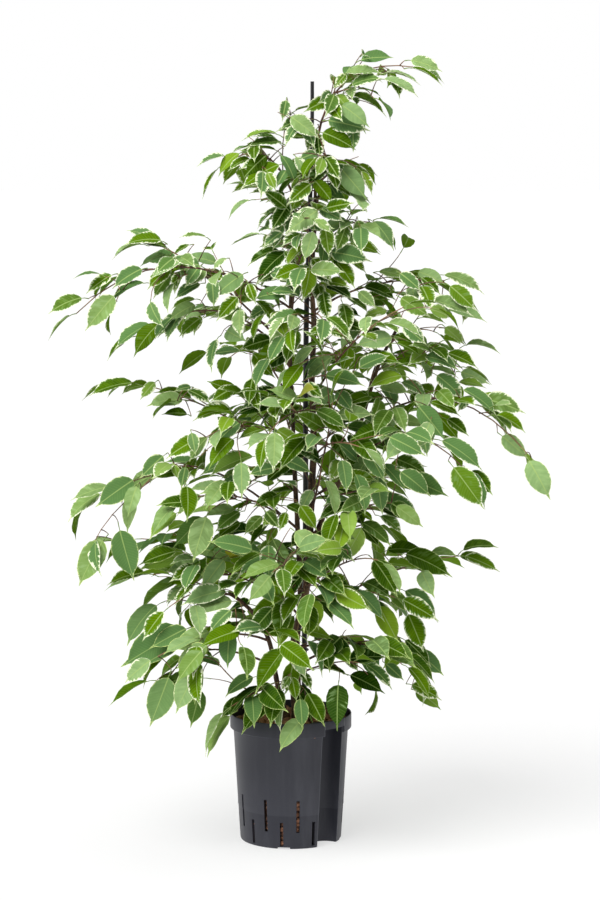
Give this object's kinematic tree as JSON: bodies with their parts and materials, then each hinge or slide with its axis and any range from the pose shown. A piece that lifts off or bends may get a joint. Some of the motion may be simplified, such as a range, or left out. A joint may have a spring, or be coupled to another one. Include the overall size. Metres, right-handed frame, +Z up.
{
  "type": "potted weeping fig",
  "caption": "Variegated weeping fig with arching leafy branches on slender stems tied to a stake, rooted in clay granules in a round slotted culture pot.",
  "frame": {"origin": "middle of the flat underside of the pot", "axes": "+Z up along the stake, -Y to the front that the picture shows, +X to its right"},
  "size_m": [0.7161, 0.59, 1.1636],
  "materials": {
    "pot": "smooth anthracite polypropylene",
    "clay": "rough reddish-brown expanded clay",
    "stake": "dark coated stick",
    "wire": "thin black coated wire",
    "bark": "smooth grey-brown bark",
    "foliage": "satin green leaves with cream edges"
  },
  "bodies": {
    "root": {"pot": "pot", "clay_granules": "clay", "plant_stake": "stake", "tie_low": "wire", "tie_middle": "wire", "tie_top": "wire", "stem_main": "bark", "stem_rear": "bark", "stem_left": "bark", "leafy_branch_01": "foliage", "leafy_branch_02": "foliage", "leafy_branch_03": "foliage", "leafy_branch_04": "foliage", "leafy_branch_05": "foliage", "leafy_branch_06": "foliage", "leafy_branch_07": "foliage", "leafy_branch_08": "foliage", "leafy_branch_09": "foliage", "leafy_branch_10": "foliage", "leafy_branch_11": "foliage", "leafy_branch_12": "foliage", "leafy_branch_13": "foliage", "leafy_branch_14": "foliage", "leafy_branch_15": "foliage", "leafy_branch_16": "foliage", "leafy_branch_17": "foliage", "leafy_branch_18": "foliage", "leafy_branch_19": "foliage", "leafy_branch_20": "foliage", "leafy_branch_21": "foliage", "leafy_branch_22": "foliage", "leafy_branch_23": "foliage", "leafy_branch_24": "foliage", "leafy_branch_25": "foliage", "leafy_branch_26": "foliage", "leafy_branch_27": "foliage", "leafy_branch_28": "foliage", "leafy_branch_29": "foliage", "leafy_branch_30": "foliage", "leafy_branch_31": "foliage", "leafy_branch_32": "foliage", "leafy_branch_33": "foliage", "leafy_branch_34": "foliage", "leafy_branch_35": "foliage", "leafy_branch_36": "foliage", "leafy_branch_37": "foliage", "leafy_branch_38": "foliage", "leafy_branch_39": "foliage", "leafy_branch_40": "foliage", "leafy_branch_41": "foliage", "leafy_branch_42": "foliage", "leafy_branch_43": "foliage", "leafy_branch_44": "foliage", "leafy_branch_45": "foliage", "leafy_branch_46": "foliage", "leafy_branch_47": "foliage", "leafy_branch_48": "foliage", "leafy_branch_49": "foliage", "leafy_branch_50": "foliage"}
  },
  "joints": []
}
